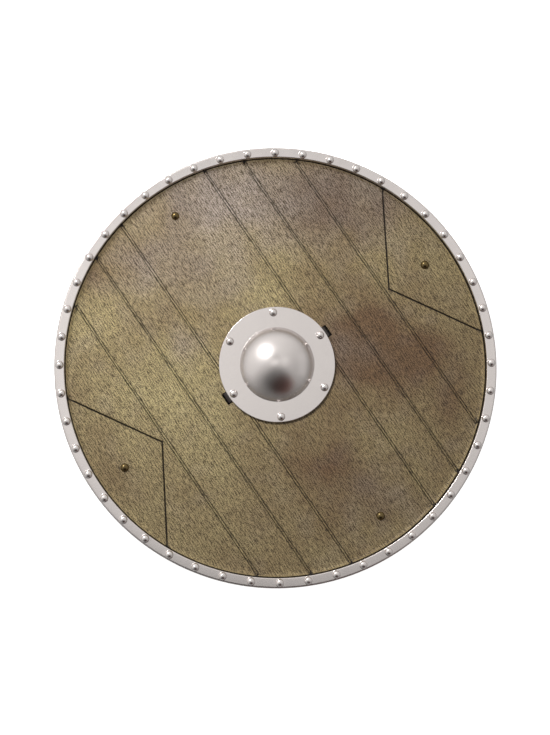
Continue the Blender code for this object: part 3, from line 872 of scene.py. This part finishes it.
def plank_paint():
    """Dry-brushed wood-look paint on embossed plastic."""
    surface, tree, shader = new_surface("dry_brushed_plank_paint", Metallic=0.15)
    place = add_node(tree, "ShaderNodeTexCoord").outputs["Object"]
    height = add_node(tree, "ShaderNodeAttribute", {"attribute_name": "grain_height"}).outputs["Fac"]
    groove_and_gap_shade = add_node(tree, "ShaderNodeAttribute", {"attribute_name": "groove_wash_and_gap_shade"}).outputs["Fac"]
    tone = add_node(tree, "ShaderNodeAttribute", {"attribute_name": "cloud_tone"}).outputs["Fac"]
    along_grain = add_node(tree, "ShaderNodeMapping", None,
                           {"Vector": place, "Scale": (1 / BRISTLE_WIDTH, 1 / BRISTLE_LENGTH, 1)})
    bristles = add_node(tree, "ShaderNodeTexNoise", None,
                        {"Vector": along_grain.outputs["Vector"], "Scale": 1.0, "Detail": 2.0})
    specks = add_node(tree, "ShaderNodeTexNoise", None,
                      {"Vector": place, "Scale": 1 / SPECK_SIZE, "Detail": 0.0})
    drawn = add_node(tree, "ShaderNodeMapping", None, {"Vector": place, "Scale": (1, LINE_STRETCH, 1)})
    lines = add_node(tree, "ShaderNodeTexWave", {"bands_direction": "X"},
                     {"Vector": drawn.outputs["Vector"], "Scale": math.pi / 10 / LINE_SPACING,
                      "Distortion": 5.0, "Detail": 1.0, "Detail Scale": 2.5})
    coverage = add_node(tree, "ShaderNodeMath", {"operation": "MULTIPLY"},
                        {0: height, 1: 0.1}).outputs["Value"]
    for pattern, weight in ((lines, 0.2), (bristles, 1.6), (specks, 1.25)):
        coverage = add_node(tree, "ShaderNodeMath", {"operation": "MULTIPLY_ADD"},
                            {0: pattern.outputs["Fac"], 1: weight, 2: coverage}).outputs["Value"]
    gold_share = add_node(tree, "ShaderNodeMapRange", None,
                          {"Value": coverage, "From Min": 1.29, "From Max": 1.84})
    gold = add_node(tree, "ShaderNodeMix", {"data_type": "RGBA"},
                    {"Factor": tone, 6: linear("#70573D"), 7: linear("#AC9E73")})
    umber = add_node(tree, "ShaderNodeMix", {"data_type": "RGBA"},
                     {"Factor": tone, 6: linear("#2F2318"), 7: linear("#463C2B")})
    mist = add_node(tree, "ShaderNodeAttribute", {"attribute_name": "grey_mist"}).outputs["Fac"]
    grey = add_node(tree, "ShaderNodeMix", {"data_type": "RGBA"},
                    {"Factor": tone, 6: linear("#80746A"), 7: linear("#AA9D92")})
    misted = add_node(tree, "ShaderNodeMix", {"data_type": "RGBA"},
                      {"Factor": mist, 6: gold.outputs[2], 7: grey.outputs[2]})
    coat = add_node(tree, "ShaderNodeMix", {"data_type": "RGBA"},
                    {"Factor": gold_share.outputs["Result"], 6: umber.outputs[2], 7: misted.outputs[2]})
    # The bead by the rim is lightened here: rubbed paint, and painted light against the rim's shadow.
    wear_and_light = add_node(tree, "ShaderNodeAttribute", {"attribute_name": "bead_wear_and_light"}).outputs["Fac"]
    rubbed = add_node(tree, "ShaderNodeMix", {"data_type": "RGBA"},
                      {"Factor": wear_and_light, 6: coat.outputs[2], 7: linear("#A8966E")})
    # The dark colour fills the grooves as an umber wash and the gap under the rim as painted shade.
    wash_and_gap_shade = add_node(tree, "ShaderNodeMapRange", None,
                    {"Value": groove_and_gap_shade, "From Min": 0.18, "From Max": 0.55})
    painted = add_node(tree, "ShaderNodeMix", {"data_type": "RGBA"},
                       {"Factor": wash_and_gap_shade.outputs["Result"], 6: rubbed.outputs[2], 7: linear("#150F0B")})
    tree.links.new(painted.outputs[2], shader.inputs["Base Color"])
    sheen = add_node(tree, "ShaderNodeMapRange", None,
                     {"Value": gold_share.outputs["Result"], "To Min": 0.68, "To Max": 0.48})
    tree.links.new(sheen.outputs["Result"], shader.inputs["Roughness"])
    bump = add_node(tree, "ShaderNodeBump", None,
                    {"Height": coverage, "Strength": 0.5, "Distance": 0.08 * MM})
    tree.links.new(bump.outputs["Normal"], shader.inputs["Normal"])
    return surface


# %% [markdown]
# The back was never painted: it is the bare dark brown plastic as it left the mould, polypropylene with
# the fine dull texture that spark erosion gives a mould. The board gets both materials: paint on the faces
# that look forward and the plastic on the rest. The flat faces of the back are shaded flat, because they
# are long triangles over which soft shading would show streaks.


# %% Bare plastic
FLOW_SIZE = 60 * MM
SPARK_SIZE = 0.8 * MM


def bare_brown_plastic():
    """Unpainted moulded polypropylene with a fine spark-eroded texture."""
    surface, tree, shader = new_surface("bare_brown_polypropylene", IOR=1.49, Roughness=0.55)
    place = add_node(tree, "ShaderNodeTexCoord").outputs["Object"]
    flow = add_node(tree, "ShaderNodeTexNoise", None,
                    {"Vector": place, "Scale": 1 / FLOW_SIZE, "Detail": 2.0})
    tint = add_node(tree, "ShaderNodeMix", {"data_type": "RGBA"},
                    {"Factor": flow.outputs["Fac"], 6: linear("#3A2C20"), 7: linear("#463627")})
    tree.links.new(tint.outputs[2], shader.inputs["Base Color"])
    texture = add_node(tree, "ShaderNodeTexNoise", None,
                       {"Vector": place, "Scale": 1 / SPARK_SIZE, "Detail": 2.0})
    bump = add_node(tree, "ShaderNodeBump", None,
                    {"Height": texture.outputs["Fac"], "Strength": 0.35, "Distance": 0.1 * MM})
    tree.links.new(bump.outputs["Normal"], shader.inputs["Normal"])
    return surface


painted_from = ledge - 0.9 * MM
smooth(board, 40)
board.data.materials.clear()
board.data.materials.append(plank_paint())
board.data.materials.append(bare_brown_plastic())
for face in board.data.polygons:
    face.material_index = 0 if face.center.z > painted_from else 1
    face.use_smooth = face.normal.z > -0.99
finish_piece(board, None, "plank_look_plastic", "board")

# %% [markdown]
# Four studs of darkened brass sit on the two middle lines of the board. A stud is a small turned nail:
# a ball-like head, a shank, and a tail that is hammered flat behind the board. Old brass is almost brown
# in its shadows and still polished on top, so the metal is dark, with a low roughness and a cloudy skin.


# %% Studs
STUD_RADIUS = 4.75 * MM
STUD_HEIGHT = stud_high.z - BOARD_FACE - CLEARANCE
STUD_RINGS = 10
STUD_SIDES = 40
SHANK_RADIUS = 1.6 * MM
TAIL_RADIUS = 3.4 * MM
SKIN_SIZE = 2.5 * MM


def darkened_brass():
    """Brass with a brown oxide skin, rubbed bright on top."""
    surface, tree, shader = new_surface("darkened_brass", Metallic=1.0)
    place = add_node(tree, "ShaderNodeTexCoord").outputs["Object"]
    skin = add_node(tree, "ShaderNodeTexNoise", None,
                    {"Vector": place, "Scale": 1 / SKIN_SIZE, "Detail": 3.0})
    tint = add_node(tree, "ShaderNodeMix", {"data_type": "RGBA"},
                    {"Factor": skin.outputs["Fac"], 6: linear("#574931"), 7: linear("#7E6E4A")})
    tree.links.new(tint.outputs[2], shader.inputs["Base Color"])
    polish = add_node(tree, "ShaderNodeMapRange", None,
                      {"Value": skin.outputs["Fac"], "To Min": 0.14, "To Max": 0.24})
    tree.links.new(polish.outputs["Result"], shader.inputs["Roughness"])
    return surface


brass = darkened_brass()
seat = BOARD_FACE + CLEARANCE
tail_top = BOARD_BACK - CLEARANCE
tail_bottom = stud_low.z
turns = [math.pi / 2 * ring / STUD_RINGS for ring in range(STUD_RINGS + 1)]
stud_head = [(STUD_RADIUS * math.sin(turn), seat + STUD_HEIGHT * math.cos(turn), 0.0) for turn in turns]
stud_head[0] = (0.0, stud_high.z, 0.0)
stud_section = stud_head + [
    (SHANK_RADIUS, seat, 0.0),
    (SHANK_RADIUS, tail_top, 0.0),
    (TAIL_RADIUS, tail_top, 0.2 * MM),
    (TAIL_RADIUS, tail_bottom, 0.3 * MM),
    (0.0, tail_bottom, 0.0),
]
for name, place in zip(("stud_right", "stud_top", "stud_left", "stud_bottom"), stud_places):
    stud = turned("brass_" + name, rounded(stud_section, 3), STUD_SIDES)
    stud.data.transform(place)
    smooth(stud)
    finish_piece(stud, brass, "dark_brass", name)

# %% [markdown]
# The grip strap is one moulded strip of black flexible plastic. Both ends pass through the slots and lie
# under the boss, where two pegs pin them, and the middle stands away from the board so that a hand fits
# behind it. It is drawn as one edge of points that is extruded along the strap's middle line, then given
# its thickness by Solidify and soft edges by Bevel.

# %% Strap: path and widths
STRAP_THICKNESS = 1.4 * MM
TONGUE_WIDTH = 12 * MM
GRIP_WIDTH = 24 * MM
GRIP_FULL_HALF = 30 * MM
DROP_X = 68.9 * MM
TONGUE_END = 52.4 * MM
TONGUE_BEND = 2.2 * MM
tongue_z = BOARD_FACE + CLEARANCE + STRAP_THICKNESS / 2
grip_z = strap_low.z + STRAP_THICKNESS / 2
grip_bend = BOARD_BACK - 2.8 * MM - grip_z


def bend(centre_x, centre_z, radius, first, last, steps):
    """Points on an arc in the XZ plane, after its first point."""
    turns = [math.radians(first + (last - first) * step / steps) for step in range(1, steps + 1)]
    return [(centre_x + radius * math.cos(turn), centre_z + radius * math.sin(turn)) for turn in turns]


bend_start = DROP_X - TONGUE_BEND
half_path = [(TONGUE_END, tongue_z), (bend_start - 6 * MM, tongue_z), (bend_start, tongue_z)]
half_path += bend(bend_start, tongue_z - TONGUE_BEND, TONGUE_BEND, 90, 0, 8)
half_path += [(DROP_X, grip_z + grip_bend)]
half_path += bend(DROP_X - grip_bend, grip_z + grip_bend, grip_bend, 0, -90, 14)
grip_start = DROP_X - grip_bend
half_path += [(grip_start * (1 - step / 12), grip_z) for step in range(1, 13)]
strap_path = half_path + [(-x, z) for x, z in half_path[-2::-1]]


def strap_half_width(x, z):
    """Half of the strap's width: narrow in the slots, wide where it is gripped."""
    if z > BOARD_BACK - grip_bend / 2:
        return TONGUE_WIDTH / 2
    share = ease((DROP_X - abs(x)) / (DROP_X - GRIP_FULL_HALF))
    return TONGUE_WIDTH / 2 + (GRIP_WIDTH - TONGUE_WIDTH) / 2 * share


print("half of the strap's path has", len(half_path), "points")

# %% Strap: pull the strip along its path
start_piece()
first_x, first_z = strap_path[0]
bpy.ops.mesh.primitive_grid_add(x_subdivisions=1, y_subdivisions=6, size=TONGUE_WIDTH,
                                location=(first_x, 0, first_z))
strap = bpy.context.object
strap.name = "grip_strap_moulded"
bpy.ops.object.transform_apply(location=True)
bpy.ops.object.mode_set(mode="EDIT")
bpy.ops.mesh.select_mode(type="VERT")
bpy.ops.mesh.select_all(action="DESELECT")
bpy.ops.object.mode_set(mode="OBJECT")
for point in strap.data.vertices:
    point.select = point.co.x > first_x
bpy.ops.object.mode_set(mode="EDIT")
bpy.ops.mesh.delete(type="VERT")
bpy.ops.mesh.select_all(action="SELECT")
bpy.ops.transform.translate(value=(TONGUE_WIDTH / 2, 0, 0))
half_width = TONGUE_WIDTH / 2
for (x, z), (next_x, next_z) in zip(strap_path, strap_path[1:]):
    bpy.ops.mesh.extrude_region_move(TRANSFORM_OT_translate={"value": (next_x - x, 0, next_z - z)})
    next_half = strap_half_width(next_x, next_z)
    bpy.ops.transform.resize(value=(1, next_half / half_width, 1), center_override=(next_x, 0, next_z))
    half_width = next_half
bpy.ops.mesh.select_all(action="SELECT")
bpy.ops.mesh.remove_doubles(threshold=0.001 * MM)
bpy.ops.object.mode_set(mode="OBJECT")
print("strap strip:", len(strap.data.polygons), "faces")

# %% Strap: thickness, soft edges and peg holes
EDGE_ROUNDING = 0.35 * MM
DUST_SIZE = 3 * MM
RIB_SPACING = 7.54 * MM


def black_plastic():
    """Black flexible PVC with shallow cross ribs from its mould."""
    surface, tree, shader = new_surface("black_flexible_pvc", IOR=1.53, Roughness=0.48)
    place = add_node(tree, "ShaderNodeTexCoord").outputs["Object"]
    dust = add_node(tree, "ShaderNodeTexNoise", None,
                    {"Vector": place, "Scale": 1 / DUST_SIZE, "Detail": 4.0})
    tint = add_node(tree, "ShaderNodeMix", {"data_type": "RGBA"},
                    {"Factor": dust.outputs["Fac"], 6: linear("#1B1613"), 7: linear("#2A2420")})
    tree.links.new(tint.outputs[2], shader.inputs["Base Color"])
    ribs = add_node(tree, "ShaderNodeTexWave", {"bands_direction": "X"},
                    {"Vector": place, "Scale": math.pi / 10 / RIB_SPACING, "Distortion": 0.2})
    bump = add_node(tree, "ShaderNodeBump", None,
                    {"Height": ribs.outputs["Fac"], "Strength": 0.5, "Distance": 0.1 * MM})
    tree.links.new(bump.outputs["Normal"], shader.inputs["Normal"])
    return surface


take(strap)
wall = strap.modifiers.new("thickness", "SOLIDIFY")
wall.thickness = STRAP_THICKNESS
wall.offset = 0.0
bpy.ops.object.modifier_apply(modifier=wall.name)
soft = strap.modifiers.new("soft edges", "BEVEL")
soft.width = EDGE_ROUNDING
soft.segments = 3
soft.limit_method = "ANGLE"
soft.angle_limit = math.radians(50)
bpy.ops.object.modifier_apply(modifier=soft.name)
for place in (boss_places[0], boss_places[BOSS_HEADS // 2]):
    combine(strap, round_cutter(PEG_HOLE, [place], BOARD_FACE, FLANGE_TOP), "DIFFERENCE")
smooth(strap)
finish_piece(strap, black_plastic(), "black_plastic", "grip_strap")

# %% [markdown]
# The photograph is a product shot on white, lit from the upper left. A small lamp near the shield gives
# the heads and the boss their short soft shadows. It isn't mirrored, because its picture would bleach the
# rim. A larger lamp, far away in the same direction, adds light and makes the highlight on the dome, and
# a weak one at the right lifts that side a little.

# %% Lamps
picture_right = Vector((math.cos(CAMERA_TILT[2]), math.sin(CAMERA_TILT[2]), 0))
picture_up = Vector((-picture_right.y, picture_right.x, 0))
up = Vector((0, 0, 1))


def towards(azimuth, off_zenith):
    """Direction in the picture: azimuth from its right, anticlockwise, and degrees away from overhead."""
    turn, lean = math.radians(azimuth), math.radians(off_zenith)
    flat = picture_right * math.cos(turn) + picture_up * math.sin(turn)
    return flat * math.sin(lean) + up * math.cos(lean)


def soft_lamp(name, direction, distance, width, height, watts, mirrored=True):
    """Rectangular area lamp that looks at the middle of the shield, its height along the picture's up."""
    data = bpy.data.lights.new(name, "AREA")
    data.shape = "RECTANGLE"
    data.size = width
    data.size_y = height
    data.energy = watts
    lamp = bpy.data.objects.new(name, data)
    lamp.location = direction * distance
    across = picture_up.cross(direction).normalized()
    lamp.rotation_euler = Matrix((across, direction.cross(across), direction)).transposed().to_euler()
    lamp.visible_camera = False
    lamp.visible_glossy = mirrored
    bpy.context.scene.collection.objects.link(lamp)


key_way = towards(128, 44)
soft_lamp("near_lamp", towards(130, 33), 0.65, width=0.12, height=0.12, watts=4.2, mirrored=False)
soft_lamp("key_lamp", key_way, 3.0, width=0.55, height=0.6, watts=28)
soft_lamp("side_lamp", towards(4, 66), 2.0, width=0.8, height=1.6, watts=0.5)
print("lamps:", len(bpy.data.lights))

# %% [markdown]
# The dome and the heads mirror the room around them, so the world stands for that room. It is brighter
# towards the key lamp, with a halo around the lamp and a bright patch overhead, and darker towards the
# picture's lower edge, around the camera and in a band below the lamp. Each of these is a soft step in
# brightness around a direction. Those that darken are multiplied, and those that brighten are added. Matt
# surfaces get only about half of it, which keeps the shadows as deep as in the photograph.

# %% Surroundings
MATT_SHARE = 0.47
SEEN_BRIGHTNESS = 0.92
world = bpy.data.worlds.new("studio")
bpy.context.scene.world = world
world.use_nodes = True
sky = world.node_tree
backdrop = sky.nodes["Background"]
ray = add_node(sky, "ShaderNodeTexCoord").outputs["Generated"]


def glow(direction, first, last, low, high):
    """Brightness that changes softly with the cosine of the angle from a direction."""
    cosine = add_node(sky, "ShaderNodeVectorMath", {"operation": "DOT_PRODUCT"}, {0: ray, 1: direction})
    return add_node(sky, "ShaderNodeMapRange", {"interpolation_type": "SMOOTHSTEP"},
                    {"Value": cosine.outputs["Value"], "From Min": first, "From Max": last,
                     "To Min": low, "To Max": high}).outputs["Result"]


def cone(direction, inner, outer, outside, inside):
    """The same for a round patch that fades between two angles, in degrees from the direction."""
    return glow(direction, math.cos(math.radians(outer)), math.cos(math.radians(inner)), outside, inside)


ceiling = glow(up, -0.1, 0.35, 0.50, 0.87)
key_side = glow(towards(130, 90), -0.9, 0.9, 0.58, 1.14)
lower_side = glow(towards(-95, 90), 0.2, 0.95, 1.0, 0.50)
lower_patch = cone(towards(-105, 40), 5, 50, 1.0, 0.6)
camera_shade = cone(towards(-115, 7), 0, 8, 1.0, 0.72)
dark_gap = cone(towards(-87, 38), 10, 40, 1.0, 0.36)
dim_band = cone(towards(112, 21), 0, 16, 1.0, 0.6)
strength = ceiling
for factor in (key_side, lower_side, lower_patch, camera_shade, dark_gap, dim_band):
    strength = add_node(sky, "ShaderNodeMath", {"operation": "MULTIPLY"},
                        {0: strength, 1: factor}).outputs[0]
key_halo = cone(key_way, 0, 26, 0.0, 0.8)
overhead_patch = cone(towards(125, 9), 0, 12, 0.0, 0.55)
right_patch = cone(towards(25, 22), 0, 15, 0.0, 0.25)
for extra in (key_halo, overhead_patch, right_patch):
    strength = add_node(sky, "ShaderNodeMath", {"operation": "ADD"}, {0: strength, 1: extra}).outputs[0]
warm_side = cone(towards(-72, 52), 8, 32, 0.0, 1.0)
tint = add_node(sky, "ShaderNodeMix", {"data_type": "RGBA"},
                {"Factor": warm_side, 6: linear("#FFFDFB"), 7: linear("#C48C80")})
rays = add_node(sky, "ShaderNodeLightPath")
softened = add_node(sky, "ShaderNodeMapRange", None,
                    {"Value": rays.outputs["Is Diffuse Ray"], "To Min": 1.0, "To Max": MATT_SHARE})
strength = add_node(sky, "ShaderNodeMath", {"operation": "MULTIPLY"},
                    {0: strength, 1: softened.outputs["Result"]}).outputs[0]
shown = add_node(sky, "ShaderNodeMix", {"data_type": "FLOAT"},
                 {"Factor": rays.outputs["Is Camera Ray"], 2: strength, 3: SEEN_BRIGHTNESS})
sky.links.new(shown.outputs[0], backdrop.inputs["Strength"])
sky.links.new(tint.outputs[2], backdrop.inputs["Color"])
print("surroundings:", len(sky.nodes), "nodes")

# %% [markdown]
# The floor is matt white paper that glows a little, so that it is as white to the camera as the ground of
# the photograph. Two things keep it from spoiling the silver: it is greyer in mirrored rays, and it doesn't
# glow below the shield, where light would leak through the gaps. Its underside is clear, so that it doesn't
# stand between the shield and a camera below it.

# %% Floor
FLOOR_SIZE = 30
PAPER_GLOW = 0.95
MIRRORED_GLOW = 0.15
start_piece()
bpy.ops.mesh.primitive_plane_add(size=FLOOR_SIZE, location=(0, 0, 0))
floor = bpy.context.object
floor.name = "floor"
paper, paper_tree, paper_shader = new_surface("matt_white_paper", Roughness=0.9)
mirrored = add_node(paper_tree, "ShaderNodeLightPath").outputs["Is Glossy Ray"]
paper_tint = add_node(paper_tree, "ShaderNodeMix", {"data_type": "RGBA"},
                      {"Factor": mirrored, 6: linear("#F4F4F3"), 7: linear("#9A9A99")})
paper_tree.links.new(paper_tint.outputs[2], paper_shader.inputs["Base Color"])
paper_shader.inputs["Emission Color"].default_value = linear("#FFFFFF")
spot = add_node(paper_tree, "ShaderNodeTexCoord").outputs["Object"]
from_middle = add_node(paper_tree, "ShaderNodeVectorMath", {"operation": "LENGTH"},
                       {0: spot}).outputs["Value"]
bright = add_node(paper_tree, "ShaderNodeMapRange", None,
                  {"Value": mirrored, "To Min": PAPER_GLOW, "To Max": MIRRORED_GLOW})
lit = add_node(paper_tree, "ShaderNodeMapRange", None,
               {"Value": from_middle, "From Min": 0.8 * SHIELD_RADIUS, "From Max": SHIELD_RADIUS,
                "To Max": bright.outputs["Result"]}).outputs["Result"]
paper_tree.links.new(lit, paper_shader.inputs["Emission Strength"])
below = add_node(paper_tree, "ShaderNodeNewGeometry").outputs["Backfacing"]
clear = add_node(paper_tree, "ShaderNodeBsdfTransparent").outputs["BSDF"]
either = add_node(paper_tree, "ShaderNodeMixShader", None,
                  {0: below, 1: paper_shader.outputs["BSDF"], 2: clear}).outputs["Shader"]
paper_tree.links.new(either, paper_tree.nodes["Material Output"].inputs["Surface"])
floor.data.materials.append(paper)
bpy.context.scene.view_settings.view_transform = "Standard"
print("floor is", FLOOR_SIZE, "m wide")
